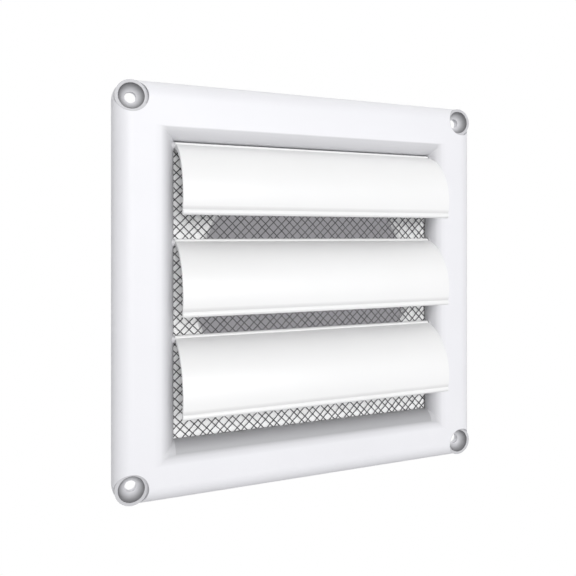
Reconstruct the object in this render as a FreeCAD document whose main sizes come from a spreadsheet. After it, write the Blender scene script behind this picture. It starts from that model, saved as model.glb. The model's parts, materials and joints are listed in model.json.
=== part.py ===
import FreeCAD, Part
import os
import Sketcher

# Louvred dryer vent cover: a square moulded frame whose window has a wide rounded edge, three curved
# flaps that swing on stub pins, an insect screen behind them, and a back plate with a round duct collar.
# Millimetres. X to the right, Y into the wall, Z up. The origin is the frame's centre on the wall plane,
# so the collar reaches towards +Y and the face stands at a negative Y.

SIZES = {
    # duct collar and back plate
    "collar_radius": 49.8,
    "collar_wall": 1.8,
    "collar_length": 30.0,
    "collar_chamfer": 0.8,
    "entry_chamfer": 1.2,
    "plate_margin": 10.6,
    "plate_depth": 1.8,
    "plate_gap": 0.3,
    # frame, seen from the front
    "seat_lap": 3.2,
    "mouth_round": 5.1,
    "bezel_width": 17.7,
    "frame_rise": 8.0,
    "edge_land": 1.0,
    "corner_extra": 1.0,
    # frame, seen from behind
    "outer_wall": 2.0,
    "face_skin": 2.0,
    "seat_wall": 2.2,
    "corner_block": 18.0,
    "rib_thickness": 1.4,
    # screw recess in each corner
    "screw_inset": 6.8,
    "ring_radius": 6.1,
    "ring_drop": 2.4,
    "bowl_radius": 4.9,
    "bowl_floor": 1.8,
    "screw_radius": 2.15,
    # insect screen
    "screen_depth": 0.8,
    "screen_rim": 2.9,
    "wire_width": 1.2,
    "wire_depth": 0.6,
    # flaps
    "flap_gap": 0.3,
    "flap_bulge": 6.6,
    "flap_thickness": 1.6,
    "top_gap": 0.3,
    "sill_gap": 3.4,
    "closed_gap": 4.8,
    "screen_gap": 0.6,
    "bead_radius": 1.4,
    "lip_radius": 1.1,
    "lip_offset": 0.3,
    "open_angle": 30.0,
    # stub pins and the lugs that hold them
    "pin_radius": 0.9,
    "pin_length": 2.0,
    "pin_gap": 0.05,
    "lug_wall": 0.6,
    "hole_spare": 0.4,
}

SCREEN_CELLS = 7
RIBS_PER_SIDE = 2
FLAPS = ("flap_top", "flap_middle", "flap_bottom")

# Sizes that follow from the ones above, as formulas of the sheet.
# The duct sets the back plate, the plate sets the opening in front of it, and the frame goes round that.
BORE_RADIUS = "(sizes.collar_radius - sizes.collar_wall)"
PLATE_HALF = "(sizes.collar_radius + sizes.plate_margin)"
SEAT_HALF = f"({PLATE_HALF} + sizes.plate_gap)"
SEAT_DEPTH = "(sizes.plate_depth + sizes.screen_depth)"
LIP_HALF = f"({PLATE_HALF} - sizes.seat_lap)"
WINDOW_HALF = f"({LIP_HALF} + sizes.mouth_round)"
FRAME_HALF = f"({WINDOW_HALF} + sizes.bezel_width)"
EDGE_ROUND = "(sizes.frame_rise - sizes.edge_land)"
CORNER_ROUND = f"({EDGE_ROUND} + sizes.corner_extra)"
HOLLOW_IN = f"({SEAT_HALF} + sizes.seat_wall)"
HOLLOW_OUT = f"({FRAME_HALF} - sizes.outer_wall)"
SCREW_PLACE = f"({FRAME_HALF} - sizes.screw_inset)"
SCREW_CORNERS = [(f"{x}{SCREW_PLACE}", f"{z}{SCREW_PLACE}") for x in ("", "-") for z in ("", "-")]
RING_LEVEL = "(sizes.frame_rise - sizes.ring_drop)"
BOWL_DEPTH = f"({RING_LEVEL} - sizes.bowl_floor)"
BALL_RADIUS = f"((sizes.bowl_radius ^ 2 + {BOWL_DEPTH} ^ 2) / (2 * {BOWL_DEPTH}))"
LATTICE_SIDE = f"(2 * ({PLATE_HALF} - sizes.screen_rim))"
CELL = f"({LATTICE_SIDE} / {SCREEN_CELLS})"
FLAP_HALF = f"({LIP_HALF} - sizes.flap_gap)"
LUG_RADIUS = "(sizes.pin_radius + sizes.pin_gap + sizes.lug_wall)"
PIVOT_LEVEL = f"({SEAT_DEPTH} + sizes.screen_gap + sizes.bead_radius)"
FLAP_PITCH = f"((2 * {LIP_HALF} - sizes.sill_gap) / {len(FLAPS)})"
FLAP_CHORD = f"({FLAP_PITCH} - sizes.bead_radius - sizes.lip_radius - sizes.closed_gap)"
ARC_RADIUS = f"(({FLAP_CHORD} ^ 2 / 4 + sizes.flap_bulge ^ 2) / (2 * sizes.flap_bulge))"
HALF_SWEEP = f"asin({FLAP_CHORD} / 2 / {ARC_RADIUS})"
CENTRE_ANGLE = f"({HALF_SWEEP} + sizes.open_angle * 1 deg)"

doc = FreeCAD.newDocument("dryer_vent_cover")
sizes = doc.addObject("Spreadsheet::Sheet", "sizes")
for row, (name, value) in enumerate(SIZES.items(), start=1):
    sizes.set(f"A{row}", name)
    sizes.set(f"B{row}", str(value))
    sizes.setAlias(f"B{row}", name)
doc.recompute()


def number(formula):
    """The present value of a formula of the sheet, in millimetres or degrees."""
    found = sizes.evalExpression(formula)
    return float(getattr(found, "Value", found))


def new_body(name):
    body = doc.addObject("PartDesign::Body", name)
    body.Label = name
    return body


def origin_item(body, role):
    """One of the body's own origin planes or axes."""
    return next(item for item in body.Origin.OriginFeatures if item.Role == role)


def new_sketch(body, name, role, offset=None):
    """An empty sketch on an origin plane, moved along the plane's normal by a formula."""
    sketch = body.newObject("Sketcher::SketchObject", name)
    sketch.AttachmentSupport = [(origin_item(body, role), "")]
    sketch.MapMode = "FlatFace"
    if offset:
        sketch.setExpression("AttachmentOffset.Base.z", offset)
    return sketch


def bind(sketch, kind, *where):
    """Adds one dimension whose value is a formula; the formula is the last argument."""
    *places, formula = where
    index = sketch.addConstraint(Sketcher.Constraint(kind, *places, number(formula)))
    sketch.setExpression(f"Constraints[{index}]", formula)


def rectangle(sketch, left, right, low, high):
    """A closed rectangle whose four sides lie where the formulas say."""
    west, east, south, north = (number(side) for side in (left, right, low, high))
    corners = [(west, south), (east, south), (east, north), (west, north)]
    points = [FreeCAD.Vector(across, up, 0) for across, up in corners]
    first = sketch.GeometryCount
    for index in range(4):
        sketch.addGeometry(Part.LineSegment(points[index], points[(index + 1) % 4]), False)
    for index in range(4):
        sketch.addConstraint(Sketcher.Constraint("Coincident", first + index, 2, first + (index + 1) % 4, 1))
    for index in (0, 2):
        sketch.addConstraint(Sketcher.Constraint("Horizontal", first + index))
        sketch.addConstraint(Sketcher.Constraint("Vertical", first + index + 1))
    bind(sketch, "DistanceX", -1, 1, first, 1, left)
    bind(sketch, "DistanceY", -1, 1, first, 1, low)
    bind(sketch, "DistanceX", -1, 1, first + 2, 1, right)
    bind(sketch, "DistanceY", -1, 1, first + 2, 1, high)


def square(sketch, half):
    rectangle(sketch, f"-({half})", half, f"-({half})", half)


def circle(sketch, radius, across=None, up=None):
    """A circle at the sketch's origin, or at the place that two formulas give."""
    place = FreeCAD.Vector(number(across) if across else 0, number(up) if up else 0, 0)
    index = sketch.addGeometry(Part.Circle(place, FreeCAD.Vector(0, 0, 1), number(radius)), False)
    bind(sketch, "Radius", index, radius)
    if across:
        bind(sketch, "DistanceX", -1, 1, index, 3, across)
        bind(sketch, "DistanceY", -1, 1, index, 3, up)
    else:
        sketch.addConstraint(Sketcher.Constraint("Coincident", index, 3, -1, 1))


def corner_circles(sketch, radius):
    """One circle at each screw place."""
    for across, up in SCREW_CORNERS:
        circle(sketch, radius, across, up)


def extrude(body, kind, name, sketch, length, reverse=False, middle=False):
    """A pad or a pocket; it stops the script if it changed nothing."""
    before = body.Tip.Shape.Volume if body.Tip else 0.0
    feature = body.newObject(f"PartDesign::{kind}", name)
    feature.Profile = sketch
    feature.Reversed = reverse
    feature.Midplane = middle
    feature.setExpression("Length", length)
    sketch.Visibility = False
    doc.recompute()
    change = feature.Shape.Volume - before
    if (change <= 0) if kind == "Pad" else (change >= 0):
        raise RuntimeError(f"{name} changed the volume by {change:.3f}")
    return feature


def edge_names(shape, wanted):
    """Names of the edges for which a test holds."""
    return [f"Edge{index}" for index, edge in enumerate(shape.Edges, start=1) if wanted(edge)]


def dress(body, kind, name, wanted, size):
    """A fillet or chamfer on the edges for which a test holds."""
    base = body.Tip
    edges = edge_names(base.Shape, wanted)
    if not edges:
        raise RuntimeError(f"{name} found no edge")
    feature = body.newObject(f"PartDesign::{kind}", name)
    feature.Base = (base, edges)
    feature.setExpression("Radius" if kind == "Fillet" else "Size", size)
    doc.recompute()
    return feature


def flat_at(edge, depth):
    """True for an edge that lies in the plane at this depth along Y."""
    box = edge.BoundBox
    return abs(box.YMin - depth) < 1e-4 and abs(box.YMax - depth) < 1e-4


def along_depth(edge):
    """True for an edge that runs along Y."""
    return edge.BoundBox.YLength > 0.5 and edge.BoundBox.XLength < 1e-4 and edge.BoundBox.ZLength < 1e-4


def reach(edge):
    """How far an edge lies from the middle of the frame, in the wall's plane."""
    box = edge.BoundBox
    return max(abs(box.XMin), abs(box.XMax), abs(box.ZMin), abs(box.ZMax))


def at_rim(edge, front, half):
    """True for an edge of the face that belongs to the frame's outline, its round corners included."""
    return flat_at(edge, front) and reach(edge) > half - number(CORNER_ROUND) - 1e-3


def frame_block(body):
    """The square block with rounded corners that the frame is made from."""
    outline = new_sketch(body, "frame_outline", "XZ_Plane")
    square(outline, FRAME_HALF)
    extrude(body, "Pad", "frame_block", outline, "sizes.frame_rise")
    dress(body, "Fillet", "frame_corners", along_depth, CORNER_ROUND)


def window(body):
    """The square opening, with a wide round from its walls out to the face."""
    opening = new_sketch(body, "opening_outline", "XZ_Plane")
    square(opening, LIP_HALF)
    extrude(body, "Pocket", "window_opening", opening, "sizes.frame_rise", reverse=True)
    front = -number("sizes.frame_rise")
    half = number(LIP_HALF)

    def at_mouth(edge):
        return flat_at(edge, front) and abs(reach(edge) - half) < 1e-3

    dress(body, "Fillet", "window_round", at_mouth, "sizes.mouth_round")


def face_hollows(body):
    """Hollows behind the face, parted by ribs, that leave a wall of even thickness."""
    hollow = new_sketch(body, "hollow_outline", "XZ_Plane")
    span = f"(2 * ({FRAME_HALF} - sizes.corner_block))"
    cells = RIBS_PER_SIDE + 1
    cell = f"(({span} - {RIBS_PER_SIDE} * sizes.rib_thickness) / {cells})"
    for index in range(cells):
        left = f"(-{span} / 2 + {index} * ({cell} + sizes.rib_thickness))"
        right = f"({left} + {cell})"
        rectangle(hollow, left, right, HOLLOW_IN, HOLLOW_OUT)
        rectangle(hollow, left, right, f"-{HOLLOW_OUT}", f"-{HOLLOW_IN}")
        rectangle(hollow, HOLLOW_IN, HOLLOW_OUT, left, right)
        rectangle(hollow, f"-{HOLLOW_OUT}", f"-{HOLLOW_IN}", left, right)
    extrude(body, "Pocket", "face_hollows", hollow, "sizes.frame_rise - sizes.face_skin", reverse=True)
    ceiling = -number("sizes.frame_rise - sizes.face_skin")
    outer = number(HOLLOW_OUT)

    def at_outer_ceiling(edge):
        box = edge.BoundBox
        spans = ((box.XMin, box.XMax), (box.ZMin, box.ZMax))
        at_wall = any(abs(abs(low) - outer) < 1e-3 and high - low < 1e-3 for low, high in spans)
        return flat_at(edge, ceiling) and at_wall

    dress(body, "Fillet", "hollow_round", at_outer_ceiling, f"{EDGE_ROUND} - sizes.outer_wall")


def outer_edge(body):
    """The large round along the face's outer edge, and the seat for the back plate."""
    front = -number("sizes.frame_rise")
    half = number(FRAME_HALF)
    dress(body, "Fillet", "frame_edge", lambda edge: at_rim(edge, front, half), EDGE_ROUND)
    seat = new_sketch(body, "seat_outline", "XZ_Plane")
    square(seat, SEAT_HALF)
    extrude(body, "Pocket", "plate_seat", seat, SEAT_DEPTH, reverse=True)


def screw_recesses(body):
    """Four corner bosses, each with a sunk ring, a bowl for the screw's head and a screw hole."""
    ring = new_sketch(body, "boss_outline", "XZ_Plane")
    corner_circles(ring, "sizes.ring_radius")
    extrude(body, "Pad", "screw_bosses", ring, RING_LEVEL)
    sink = new_sketch(body, "ring_outline", "XZ_Plane", "sizes.frame_rise")
    corner_circles(sink, "sizes.ring_radius")
    extrude(body, "Pocket", "sunk_rings", sink, "sizes.ring_drop")
    for across, up in SCREW_CORNERS:
        bowl = body.newObject("PartDesign::SubtractiveSphere", "screw_bowl")
        bowl.setExpression("Radius", BALL_RADIUS)
        bowl.setExpression("Placement.Base.x", across)
        bowl.setExpression("Placement.Base.y", f"-(sizes.bowl_floor + {BALL_RADIUS})")
        bowl.setExpression("Placement.Base.z", up)
        doc.recompute()
    hole = new_sketch(body, "screw_outline", "XZ_Plane")
    corner_circles(hole, "sizes.screw_radius")
    extrude(body, "Pocket", "screw_holes", hole, "sizes.frame_rise", reverse=True)


def pivot_height(place):
    """Height of a flap's axis above the frame's centre; the top flap has place 0."""
    return f"({LIP_HALF} - sizes.top_gap - sizes.bead_radius - {place} * {FLAP_PITCH})"


def hinge_lugs(body):
    """Round lugs on the window's side walls, with a blind hole for each flap's stub pin."""
    level = f"-{PIVOT_LEVEL}"
    ears = new_sketch(body, "lug_outline", "YZ_Plane", LIP_HALF)
    holes = new_sketch(body, "pin_hole_outline", "YZ_Plane", LIP_HALF)
    for place in range(len(FLAPS)):
        circle(ears, LUG_RADIUS, level, pivot_height(place))
        circle(holes, "sizes.pin_radius + sizes.pin_gap", level, pivot_height(place))
    lugs = extrude(body, "Pad", "hinge_lugs", ears, f"{WINDOW_HALF} - {LIP_HALF}")
    depth = "sizes.pin_length - sizes.flap_gap + sizes.hole_spare"
    pin_holes = extrude(body, "Pocket", "pin_holes", holes, depth, reverse=True)
    mirror = body.newObject("PartDesign::Mirrored", "opposite_lugs")
    mirror.Originals = [lugs, pin_holes]
    mirror.MirrorPlane = (origin_item(body, "YZ_Plane"), [""])
    body.Tip = mirror
    doc.recompute()


def front_frame():
    body = new_body("front_frame")
    frame_block(body)
    window(body)
    face_hollows(body)
    outer_edge(body)
    screw_recesses(body)
    hinge_lugs(body)
    return body


def rear_plate():
    """The plate that closes the frame from behind, in one moulding with the duct collar."""
    body = new_body("rear_plate")
    outline = new_sketch(body, "plate_outline", "XZ_Plane")
    square(outline, PLATE_HALF)
    extrude(body, "Pad", "plate", outline, "sizes.plate_depth")
    collar = new_sketch(body, "collar_outline", "XZ_Plane")
    circle(collar, "sizes.collar_radius")
    extrude(body, "Pad", "collar", collar, "sizes.collar_length", reverse=True)
    end = number("sizes.collar_length")
    dress(body, "Chamfer", "collar_lead", lambda edge: flat_at(edge, end), "sizes.collar_chamfer")
    bore = new_sketch(body, "bore_outline", "XZ_Plane", "sizes.plate_depth")
    circle(bore, BORE_RADIUS)
    extrude(body, "Pocket", "duct_bore", bore, "sizes.plate_depth + sizes.collar_length")
    front = -number("sizes.plate_depth")
    width = 2 * number(BORE_RADIUS)

    def at_entry(edge):
        return flat_at(edge, front) and abs(edge.BoundBox.XLength - width) < 1e-3

    dress(body, "Chamfer", "duct_entry", at_entry, "sizes.entry_chamfer")
    return body


def screen_bar(name, turn, step, front):
    """One diagonal bar of the screen; its middle lies on the level axis, some cells from the centre."""
    bar = doc.addObject("Part::Box", name)
    bar.setExpression("Length", f"2 * {LATTICE_SIDE}")
    bar.setExpression("Width", "sizes.wire_depth")
    bar.setExpression("Height", "sizes.wire_width")
    bar.Placement.Rotation = FreeCAD.Rotation(FreeCAD.Vector(0, 1, 0), turn)
    back = LATTICE_SIDE
    down = "sizes.wire_width / 2"
    bar.setExpression("Placement.Base.x", f"{step} * {CELL} - cos({turn}) * {back} - sin({turn}) * {down}")
    bar.setExpression("Placement.Base.z", f"sin({turn}) * {back} - cos({turn}) * {down}")
    bar.setExpression("Placement.Base.y", front)
    return bar


def screen_box(name, side):
    """A square block as deep as the screen, centred on the frame."""
    block = doc.addObject("Part::Box", name)
    block.setExpression("Length", side)
    block.setExpression("Height", side)
    block.setExpression("Width", "sizes.screen_depth")
    block.setExpression("Placement.Base.x", f"-{side} / 2")
    block.setExpression("Placement.Base.z", f"-{side} / 2")
    block.setExpression("Placement.Base.y", f"-{SEAT_DEPTH}")
    return block


def insect_screen():
    """A flat screen of crossed diagonal bars inside a narrow rim, one direction proud of the other."""
    bars = []
    back = "-sizes.plate_depth - sizes.wire_depth"
    front = f"-{SEAT_DEPTH}"
    for step in range(1 - SCREEN_CELLS, SCREEN_CELLS):
        bars.append(screen_bar("rising_wire", -45, step, front))
        bars.append(screen_bar("falling_wire", 45, step, back))
    lattice = doc.addObject("Part::MultiFuse", "screen_lattice")
    lattice.Shapes = bars
    window = screen_box("screen_window", LATTICE_SIDE)
    inside = doc.addObject("Part::Common", "screen_inside")
    inside.Base = lattice
    inside.Tool = window
    rim = doc.addObject("Part::Cut", "screen_rim_ring")
    rim.Base = screen_box("screen_outside", f"(2 * {PLATE_HALF})")
    rim.Tool = screen_box("screen_opening", LATTICE_SIDE)
    screen = doc.addObject("Part::Fuse", "insect_screen")
    screen.Base = inside
    screen.Tool = rim
    screen.Label = "insect_screen"
    doc.recompute()
    return screen


def flap(name, place):
    """A curved flap with a round bead at its axis, stub pins at both ends and a rolled lower lip.

    The body's own origin is the centre of the curve, so that the sheet is a strip turned about X.
    """
    body = new_body(name)
    strip = new_sketch(body, f"{name}_strip", "XY_Plane")
    outer = f"-({ARC_RADIUS} + sizes.flap_thickness / 2)"
    inner = f"-({ARC_RADIUS} - sizes.flap_thickness / 2)"
    rectangle(strip, f"-{FLAP_HALF}", FLAP_HALF, outer, inner)
    sheet = body.newObject("PartDesign::Revolution", f"{name}_sheet")
    sheet.Profile = strip
    sheet.ReferenceAxis = (strip, ["H_Axis"])
    sheet.Midplane = True
    sheet.setExpression("Angle", f"2 * {HALF_SWEEP}")
    strip.Visibility = False
    doc.recompute()
    near = f"-{ARC_RADIUS} * cos({HALF_SWEEP})"
    high = f"{ARC_RADIUS} * sin({HALF_SWEEP})"
    bead = new_sketch(body, f"{name}_bead_outline", "YZ_Plane")
    circle(bead, "sizes.bead_radius", near, high)
    extrude(body, "Pad", f"{name}_bead", bead, f"2 * {FLAP_HALF}", middle=True)
    lip = new_sketch(body, f"{name}_lip_outline", "YZ_Plane")
    lip_arc = f"({ARC_RADIUS} + sizes.lip_offset)"
    circle(lip, "sizes.lip_radius", f"-{lip_arc} * cos({HALF_SWEEP})", f"-{lip_arc} * sin({HALF_SWEEP})")
    extrude(body, "Pad", f"{name}_lip", lip, f"2 * {FLAP_HALF}", middle=True)
    pin = new_sketch(body, f"{name}_pin_outline", "YZ_Plane")
    circle(pin, "sizes.pin_radius", near, high)
    extrude(body, "Pad", f"{name}_pins", pin, f"2 * ({FLAP_HALF} + sizes.pin_length)", middle=True)
    body.Placement.Rotation = FreeCAD.Rotation(FreeCAD.Vector(1, 0, 0), -number("sizes.open_angle"))
    body.setExpression("Placement.Rotation.Angle", "-sizes.open_angle")
    body.setExpression("Placement.Base.y", f"-{PIVOT_LEVEL} + {ARC_RADIUS} * cos({CENTRE_ANGLE})")
    body.setExpression("Placement.Base.z", f"{pivot_height(place)} - {ARC_RADIUS} * sin({CENTRE_ANGLE})")
    return body


def check_and_write(parts):
    """Stops on a failed object or a bad shape, then writes one file for each sub-part."""
    doc.recompute()
    for item in doc.Objects:
        if "Invalid" in item.State or "Error" in item.State:
            raise RuntimeError(f"{item.Name} failed: {item.State}")
    os.makedirs("parts", exist_ok=True)
    for item in parts:
        if item.Shape.isNull() or not item.Shape.isValid():
            raise RuntimeError(f"{item.Label} has no valid shape")
        item.Shape.exportStep(os.path.join("parts", f"{item.Label}.step"))
        print(f"{item.Label}: {len(item.Shape.Solids)} solid, {item.Shape.Volume / 1000:.2f} cm3")


parts = [front_frame(), rear_plate(), insect_screen()]
parts += [flap(name, place) for place, name in enumerate(FLAPS)]
check_and_write(parts)
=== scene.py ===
import json
import math

import bmesh
import bpy
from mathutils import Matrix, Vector


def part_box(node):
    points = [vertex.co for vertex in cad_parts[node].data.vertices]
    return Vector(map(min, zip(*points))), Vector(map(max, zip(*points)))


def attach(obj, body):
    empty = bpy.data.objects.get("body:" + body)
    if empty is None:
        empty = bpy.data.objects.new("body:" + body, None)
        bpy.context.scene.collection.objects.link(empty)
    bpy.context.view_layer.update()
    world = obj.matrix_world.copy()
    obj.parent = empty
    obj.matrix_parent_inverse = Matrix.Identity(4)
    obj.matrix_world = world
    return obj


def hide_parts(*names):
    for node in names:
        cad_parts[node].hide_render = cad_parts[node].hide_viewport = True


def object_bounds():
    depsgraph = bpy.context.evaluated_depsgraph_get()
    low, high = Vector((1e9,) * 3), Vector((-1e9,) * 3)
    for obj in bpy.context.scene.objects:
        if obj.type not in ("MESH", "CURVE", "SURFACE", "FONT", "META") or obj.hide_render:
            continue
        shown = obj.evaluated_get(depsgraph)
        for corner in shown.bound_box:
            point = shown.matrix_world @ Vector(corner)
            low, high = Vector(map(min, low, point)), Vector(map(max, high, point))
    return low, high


# Dryer vent cover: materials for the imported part, a woven insect screen in place of the plain
# lattice, and a white stage with the photograph's camera. Lengths are in metres.

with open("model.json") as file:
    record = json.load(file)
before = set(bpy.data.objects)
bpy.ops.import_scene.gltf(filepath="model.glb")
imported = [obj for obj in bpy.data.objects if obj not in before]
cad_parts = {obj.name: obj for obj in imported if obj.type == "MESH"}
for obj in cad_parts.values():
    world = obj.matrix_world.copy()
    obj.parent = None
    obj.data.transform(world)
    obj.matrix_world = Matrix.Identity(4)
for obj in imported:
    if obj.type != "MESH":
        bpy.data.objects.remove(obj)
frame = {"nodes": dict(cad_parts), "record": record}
cad_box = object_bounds()
nodes = frame["nodes"]

MM = 0.001

# The photograph's camera, worked out from the frame's four corners
CAMERA_PLACE = Vector((-0.1001, -0.2343, 0.0210))
CAMERA_TURN = 21.34
LENS = 37.5
SENSOR_WIDTH = 36.0
NEAREST = 10 * MM
IMAGE_SIDE = 576
HORIZON_ROW = 236

# Satin white plastic: noise scales are per metre
FRAME_TONE = (0.865, 0.865, 0.895)
FRAME_ROUGHNESS = 0.48
FLAP_TONE = (0.93, 0.93, 0.93)
FLAP_ROUGHNESS = 0.4
NOISE_DETAIL = 2.0
FLOW_SCALE, FLOW_DETAIL, FLOW_DARKENING = 14.0, 3.0, 0.975
GLOSS_SCALE, GLOSSIER, DULLER = 55.0, 0.05, 0.07
SKIN_SCALE, SKIN_STRENGTH, SKIN_HEIGHT = 2600.0, 0.05, 0.2 * MM
RAMP_START, RAMP_END = 0.35, 0.65

# Painted shade: grey levels multiplied into the frame's plastic by distance in millimetres, from
# the frame's middle at the window's edge and from the screw's axis in a recess, where shade falls.
# A window list starts at nought, so that inside its first distance the other lists decide.
SIDE_SHADE = ((57.0, 0.0), (57.1, 0.62), (59.5, 0.66), (61.0, 0.78), (62.8, 0.95), (65.0, 1.0))
TOP_SHADE = ((57.0, 0.0), (57.1, 0.69), (62.0, 0.72), (62.7, 1.0))
SILL_SHADE = ((57.0, 0.0), (57.1, 0.46), (61.4, 0.5), (62.2, 0.68), (63.2, 0.84), (65.5, 1.0))
RECESS_SHADE = (
    (0.0, 0.8),
    (2.15, 0.8),
    (3.2, 0.62),
    (4.2, 0.4),
    (4.85, 0.25),
    (4.95, 0.68),
    (6.15, 0.68),
    (6.3, 1.0),
)
RECESS_FLOOR = 1.7 * MM

# The same painted shade for a flap, a grey line in the crease by distance from the axis of its
# rolled lip
LIP_SHADE = ((1.1, 1.0), (1.3, 0.8), (1.8, 0.84), (2.8, 1.0))
LIP_RADIUS = 1.1 * MM
LIP_BEHIND_FRONT = 1.5 * MM

# Woven screen: the weave is the share of its radius by which a wire passes over or under another
WIRE_PITCH = 2.48 * MM
WIRE_UNEVEN = 0.17
WIRE_RADIUS = 0.19 * MM
WIRE_WEAVE = 0.9
WIRE_SIDES = 6
WIRE_FACE_LIMIT = 1e-6
WIRE_TONE = (0.085, 0.085, 0.09)
WIRE_DARK, WIRE_LIGHT = (0.065, 0.065, 0.07), (0.12, 0.12, 0.125)
WIRE_ROUGHNESS = 0.45
WIRE_METALLIC = 0.35
WIRE_PATCH_SCALE = 240.0
SCREEN_BAND = 2.6 * MM

# Painted shade for the inside of the duct behind the screen: a disc glowing a fixed grey; its rim
# lies in the collar's wall
DUCT_RADIUS = 48.2 * MM
DUCT_DEPTH = 1.0 * MM
DUCT_SHADE_GREY = (0.285, 0.28, 0.295)
DUCT_SIDES = 64

# Stage, world and lamp: the world turns from its front to its back level between two Y directions
MATTE = 0.9
WHITE = (1.0, 1.0, 1.0)
FLOOR_TONE = (0.3, 0.3, 0.31)
FLOOR_DROP = 0.12
STAGE_SIZE = 6.0
WORLD_TURN = (-0.15, 0.25)
WORLD_LEVELS = (0.25, 1.0)
KEY_PLACE = Vector((-0.12, -2.0, 0.42))
KEY_SIZE = 1.2
KEY_POWER = 34.6


def link(owner, source, target):
    """Joins two sockets in the node tree of a material or world."""
    owner.node_tree.links.new(source, target)


def add_node(owner, kind, **settings):
    node = owner.node_tree.nodes.new(kind)
    for name, value in settings.items():
        setattr(node, name, value)
    return node


def new_material(name, roughness, colour):
    """A material with its main shader, as the starting point for the others."""
    material = bpy.data.materials.new(name)
    material.use_nodes = True
    shader = material.node_tree.nodes["Principled BSDF"]
    shader.inputs["Base Color"].default_value = (*colour, 1.0)
    shader.inputs["Roughness"].default_value = roughness
    return material, shader


def map_range(owner, value, source=(0.0, 1.0), target=(0.0, 1.0)):
    """A value carried from one range to another and held at its ends."""
    spread = add_node(owner, "ShaderNodeMapRange")
    for name, end in zip(("From Min", "From Max", "To Min", "To Max"), (*source, *target)):
        spread.inputs[name].default_value = end
    link(owner, value, spread.inputs["Value"])
    return spread.outputs["Result"]


def vector_math(material, operation, first, second=None, result="Vector"):
    """A vector operation on an output and, where it takes two, on another output or a constant."""
    node = add_node(material, "ShaderNodeVectorMath", operation=operation)
    link(material, first, node.inputs[0])
    if isinstance(second, tuple):
        node.inputs[1].default_value = second
    elif second is not None:
        link(material, second, node.inputs[1])
    return node.outputs[result]


def object_noise(material, scale, detail=NOISE_DETAIL):
    """Noise in the object's own coordinates, in metres."""
    place = add_node(material, "ShaderNodeTexCoord")
    noise = add_node(material, "ShaderNodeTexNoise")
    noise.inputs["Scale"].default_value = scale
    noise.inputs["Detail"].default_value = detail
    link(material, place.outputs["Object"], noise.inputs["Vector"])
    return noise.outputs["Fac"]


def colour_ramp(material, factor, stops):
    """A colour for a factor, through a list of positions and colours."""
    ramp = add_node(material, "ShaderNodeValToRGB")
    elements = ramp.color_ramp.elements
    while len(elements) < len(stops):
        elements.new(1.0)
    for element, (position, colour) in zip(elements, stops):
        element.position = position
        element.color = (*colour, 1.0)
    link(material, factor, ramp.inputs["Fac"])
    return ramp.outputs["Color"]


def patchy_colour(material, shader, noise, low, high):
    """Gives the shader a colour that drifts between two tones."""
    tint = colour_ramp(material, noise, ((RAMP_START, low), (RAMP_END, high)))
    link(material, tint, shader.inputs["Base Color"])


def white_plastic(name, tone, roughness):
    """Satin moulded plastic: faint flow marks in the colour, uneven gloss and a very fine skin."""
    material, shader = new_material(name, roughness, tone)
    darker = tuple(channel * FLOW_DARKENING for channel in tone)
    flow = object_noise(material, FLOW_SCALE, FLOW_DETAIL)
    patchy_colour(material, shader, flow, darker, tone)
    gloss_range = (roughness - GLOSSIER, roughness + DULLER)
    gloss = map_range(material, object_noise(material, GLOSS_SCALE), target=gloss_range)
    link(material, gloss, shader.inputs["Roughness"])
    bump = add_node(material, "ShaderNodeBump")
    bump.inputs["Strength"].default_value = SKIN_STRENGTH
    bump.inputs["Distance"].default_value = SKIN_HEIGHT
    link(material, object_noise(material, SKIN_SCALE), bump.inputs["Height"])
    link(material, bump.outputs["Normal"], shader.inputs["Normal"])
    return material


def shade_ramp(material, distance, shade):
    """A painted shade's grey level for a distance, through the places and levels of a list."""
    first, last = shade[0][0], shade[-1][0]
    factor = map_range(material, distance, source=(first * MM, last * MM))
    stops = [((place - first) / (last - first), (level,) * 3) for place, level in shade]
    return colour_ramp(material, factor, stops)


def window_shade(material, place):
    """Painted soft shade on the window's rounded edge, deepest under the bottom flap, whose shadow
    falls there.
    """
    across = add_node(material, "ShaderNodeMath", operation="ABSOLUTE")
    below = add_node(material, "ShaderNodeMath", operation="MULTIPLY")
    below.inputs[1].default_value = -1.0
    link(material, place.outputs["X"], across.inputs[0])
    link(material, place.outputs["Z"], below.inputs[0])
    sides = shade_ramp(material, across.outputs["Value"], SIDE_SHADE)
    top = shade_ramp(material, place.outputs["Z"], TOP_SHADE)
    sill = shade_ramp(material, below.outputs["Value"], SILL_SHADE)
    return vector_math(material, "MAXIMUM", vector_math(material, "MAXIMUM", sides, top), sill)


def axis_distance(material, position, point, plane):
    """Distance from a line through a point; the plane across it has ones for its two axes."""
    offset = vector_math(material, "SUBTRACT", position, point)
    across = vector_math(material, "MULTIPLY", offset, plane)
    return vector_math(material, "LENGTH", across, result="Value")


def recess_shade(material, position, depth):
    """Painted shade in the four screw recesses, by the distance from the nearest screw's axis."""
    screws = next(mount for mount in frame["record"]["mounts"] if mount["name"] == "wall_screws")
    half = screws["dims"]["spacing_x_mm"] / 2 * MM
    corner = vector_math(material, "ABSOLUTE", position)
    distance = axis_distance(material, corner, (half, 0.0, half), (1.0, 0.0, 1.0))
    behind = add_node(material, "ShaderNodeMath", operation="GREATER_THAN")
    behind.inputs[1].default_value = -RECESS_FLOOR
    link(material, depth, behind.inputs[0])
    shade = shade_ramp(material, distance, RECESS_SHADE)
    return vector_math(material, "MAXIMUM", shade, behind.outputs["Value"])


def multiply_colour(material, shade):
    """Darkens a material's main colour by a grey level: the step that paints shade into it."""
    colour = material.node_tree.nodes["Principled BSDF"].inputs["Base Color"]
    link(material, vector_math(material, "MULTIPLY", colour.links[0].from_socket, shade), colour)


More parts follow.
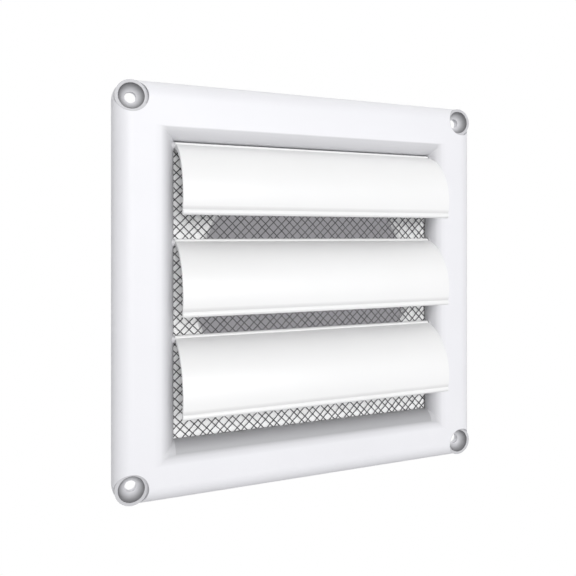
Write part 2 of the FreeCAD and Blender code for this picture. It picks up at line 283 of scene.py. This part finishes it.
def frame_plastic():
    """The frame's plastic, with shade painted into its colour where the moulding is sunk and
    little light comes in.
    """
    material = white_plastic("frame_white", FRAME_TONE, FRAME_ROUGHNESS)
    coordinates = add_node(material, "ShaderNodeTexCoord")
    place = add_node(material, "ShaderNodeSeparateXYZ")
    link(material, coordinates.outputs["Object"], place.inputs["Vector"])
    window = window_shade(material, place)
    recess = recess_shade(material, coordinates.outputs["Object"], place.outputs["Y"])
    multiply_colour(material, vector_math(material, "MULTIPLY", window, recess))
    return material


def flap_plastic(node):
    """A flap's plastic, with a faint painted shade line in the crease where the sheet meets its
    rolled lip.
    """
    material = white_plastic(f"{node}_white", FLAP_TONE, FLAP_ROUGHNESS)
    low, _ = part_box(node)
    lip = (0.0, low.y + LIP_BEHIND_FRONT, low.z + LIP_RADIUS)
    coordinates = add_node(material, "ShaderNodeTexCoord")
    distance = axis_distance(material, coordinates.outputs["Object"], lip, (0.0, 1.0, 1.0))
    multiply_colour(material, shade_ramp(material, distance, LIP_SHADE))
    return material


def dark_wire():
    """Dull grey wire with a little variation from strand to strand."""
    material, shader = new_material("screen_wire", WIRE_ROUGHNESS, WIRE_TONE)
    shader.inputs["Metallic"].default_value = WIRE_METALLIC
    patches = object_noise(material, WIRE_PATCH_SCALE)
    patchy_colour(material, shader, patches, WIRE_DARK, WIRE_LIGHT)
    return material


def dress(node, material):
    mesh = nodes[node].data
    mesh.materials.clear()
    mesh.materials.append(material)


def add_object(name, data):
    item = bpy.data.objects.new(name, data)
    bpy.context.scene.collection.objects.link(item)
    return item


def wire_places(half):
    """Places of one family's wires across the screen's diagonal, wide and narrow in turn."""
    reach = half * math.sqrt(2)
    count = int(reach / WIRE_PITCH)
    places = []
    for index in range(-count, count + 1):
        shift = WIRE_UNEVEN / 2 if index % 2 else -WIRE_UNEVEN / 2
        places.append((index + shift) * WIRE_PITCH)
    return [place for place in places if abs(place) < reach - WIRE_PITCH]


def wire_path(place, others, half, over):
    """Centre line of one woven wire in (along, depth) pairs, clipped to the screen's square."""
    run = half * math.sqrt(2) - abs(place)
    inside = [(index, spot) for index, spot in enumerate(others) if abs(spot) < run]
    if len(inside) < 2:
        return []
    points = [(-run, 0.0)]
    for (index, spot), (_, following) in zip(inside, inside[1:] + [inside[-1]]):
        side = 1.0 if (index + over) % 2 else -1.0
        points.append((spot, side * WIRE_RADIUS * WIRE_WEAVE))
        if following > spot:
            points.append(((spot + following) / 2, 0.0))
    points.append((run, 0.0))
    return points


def join_rings(mesh, first, second):
    """Faces between two rings with the same number of points."""
    for step in range(len(first)):
        after = (step + 1) % len(first)
        mesh.faces.new((first[step], first[after], second[after], second[step]))


def add_tube(mesh, points, radius, sides):
    """A closed tube of few sides along a list of points."""
    rings = []
    for index, point in enumerate(points):
        before = points[max(index - 1, 0)]
        after = points[min(index + 1, len(points) - 1)]
        along = (after - before).normalized()
        side = along.cross(Vector((0, 1, 0))).normalized()
        up = side.cross(along)
        ring = []
        for step in range(sides):
            angle = 2 * math.pi * step / sides
            outward = math.cos(angle) * side + math.sin(angle) * up
            ring.append(mesh.verts.new(point + radius * outward))
        rings.append(ring)
    for first, second in zip(rings, rings[1:]):
        join_rings(mesh, first, second)
    mesh.faces.new(rings[0][::-1])
    mesh.faces.new(rings[-1])


def add_band(mesh, outer, inner, front, back):
    """A flat square ring between two depths."""
    loops = []
    for half in (outer, inner):
        for depth in (front, back):
            corners = ((-half, -half), (half, -half), (half, half), (-half, half))
            loops.append([mesh.verts.new((across, depth, up)) for across, up in corners])
    outer_front, outer_back, inner_front, inner_back = loops
    join_rings(mesh, outer_front, inner_front)
    join_rings(mesh, inner_front, inner_back)
    join_rings(mesh, inner_back, outer_back)
    join_rings(mesh, outer_back, outer_front)


def woven_screen():
    """Fine crossed wires, over and under in turn, in the place of the plain lattice."""
    low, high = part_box("insect_screen")
    middle = (low.y + high.y) / 2
    outer = high.x
    half = outer - SCREEN_BAND / 2
    mesh = bmesh.new()
    places = wire_places(half)
    slant = math.sqrt(0.5)
    for family, sign in ((0, -1), (1, 1)):
        for index, place in enumerate(places):
            points = []
            for along, depth in wire_path(place, places, half, index + family):
                across = (along + place) * slant
                up = (along - place) * slant * sign
                points.append(Vector((across, middle + depth * sign, up)))
            if points:
                add_tube(mesh, points, WIRE_RADIUS, WIRE_SIDES)
    add_band(mesh, outer, outer - SCREEN_BAND, low.y, high.y)
    bmesh.ops.recalc_face_normals(mesh, faces=mesh.faces)
    data = bpy.data.meshes.new("woven_screen")
    mesh.to_mesh(data)
    mesh.free()
    for polygon in data.polygons:
        polygon.use_smooth = len(polygon.vertices) == 4 and polygon.area < WIRE_FACE_LIMIT
    piece = add_object("woven_screen", data)
    piece.data.materials.append(dark_wire())
    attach(piece, "housing")
    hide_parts("insect_screen")


def any_ray(owner, kinds):
    """One for rays of these kinds and nought for the others."""
    path = add_node(owner, "ShaderNodeLightPath")
    found = path.outputs[kinds[0]]
    for kind in kinds[1:]:
        either = add_node(owner, "ShaderNodeMath", operation="MAXIMUM")
        link(owner, found, either.inputs[0])
        link(owner, path.outputs[kind], either.inputs[1])
        found = either.outputs["Value"]
    return found


def show_apart(owner, kinds, plain, seen, output):
    """Gives rays of these kinds the second shader, and the first to the others."""
    mix = add_node(owner, "ShaderNodeMixShader")
    link(owner, any_ray(owner, kinds), mix.inputs["Fac"])
    link(owner, plain, mix.inputs[1])
    link(owner, seen, mix.inputs[2])
    link(owner, mix.outputs["Shader"], owner.node_tree.nodes[output].inputs["Surface"])


def backdrop_material(name, colour):
    """White to the eye and in reflections, and a plain matte surface for the light."""
    material, shader = new_material(name, MATTE, colour)
    light = add_node(material, "ShaderNodeEmission")
    light.inputs["Color"].default_value = (*WHITE, 1.0)
    kinds = ("Is Camera Ray", "Is Glossy Ray", "Is Transmission Ray")
    plain, seen = shader.outputs["BSDF"], light.outputs["Emission"]
    show_apart(material, kinds, plain, seen, "Material Output")
    return material


def pale_floor():
    low, _ = cad_box
    place = (0, 0, low.z - FLOOR_DROP)
    bpy.ops.mesh.primitive_plane_add(size=STAGE_SIZE, location=place)
    floor = bpy.context.object
    floor.name = "floor"
    floor.data.materials.append(backdrop_material("pale_floor", FLOOR_TONE))


def painted_duct_shade():
    """Painted shade for the dim inside of the duct, seen through the screen: a disc just behind
    the plate that glows a fixed grey.
    """
    bpy.ops.mesh.primitive_circle_add(vertices=DUCT_SIDES, radius=DUCT_RADIUS, fill_type="NGON")
    disc = bpy.context.object
    disc.name = "painted_duct_shade"
    disc.rotation_euler = (math.radians(90), 0, 0)
    disc.location = (0, DUCT_DEPTH, 0)
    material, shader = new_material("painted_duct_shade", MATTE, (0.0, 0.0, 0.0))
    shader.inputs["Emission Color"].default_value = (*DUCT_SHADE_GREY, 1.0)
    shader.inputs["Emission Strength"].default_value = 1.0
    disc.data.materials.append(material)


def studio_world():
    """Dim before the part and bright behind it, as a backdrop is, and seen as plain white."""
    world = bpy.data.worlds.new("studio")
    bpy.context.scene.world = world
    world.use_nodes = True
    way = add_node(world, "ShaderNodeTexCoord")
    axes = add_node(world, "ShaderNodeSeparateXYZ")
    link(world, way.outputs["Generated"], axes.inputs["Vector"])
    level = map_range(world, axes.outputs["Y"], WORLD_TURN, WORLD_LEVELS)
    shade = world.node_tree.nodes["Background"]
    shade.inputs["Color"].default_value = (*WHITE, 1.0)
    link(world, level, shade.inputs["Strength"])
    white = add_node(world, "ShaderNodeBackground")
    white.inputs["Color"].default_value = (*WHITE, 1.0)
    kinds = ("Is Camera Ray", "Is Transmission Ray")
    plain, seen = shade.outputs["Background"], white.outputs["Background"]
    show_apart(world, kinds, plain, seen, "World Output")


def key_lamp():
    """A broad soft lamp in front of the part and a little above it, aimed at its middle."""
    lamp = bpy.data.lights.new("key", "AREA")
    lamp.shape = "RECTANGLE"
    lamp.size = KEY_SIZE
    lamp.size_y = KEY_SIZE
    lamp.energy = KEY_POWER
    holder = add_object("key", lamp)
    holder.location = KEY_PLACE
    holder.rotation_euler = (-KEY_PLACE).to_track_quat("-Z", "Y").to_euler()


def photo_camera():
    data = bpy.data.cameras.new("camera")
    data.lens = LENS
    data.sensor_width = SENSOR_WIDTH
    data.shift_y = (HORIZON_ROW - IMAGE_SIDE / 2) / IMAGE_SIDE
    data.clip_start = NEAREST
    camera = add_object("camera", data)
    camera.location = CAMERA_PLACE
    camera.rotation_euler = (math.radians(90), 0, -math.radians(CAMERA_TURN))
    bpy.context.scene.camera = camera


dress("front_frame", frame_plastic())
dress("rear_plate", white_plastic("plate_white", FLAP_TONE, FLAP_ROUGHNESS))
for flap in ("flap_top", "flap_middle", "flap_bottom"):
    dress(flap, flap_plastic(flap))
woven_screen()

pale_floor()
painted_duct_shade()
studio_world()
key_lamp()
photo_camera()
bpy.context.scene.view_settings.view_transform = "Standard"
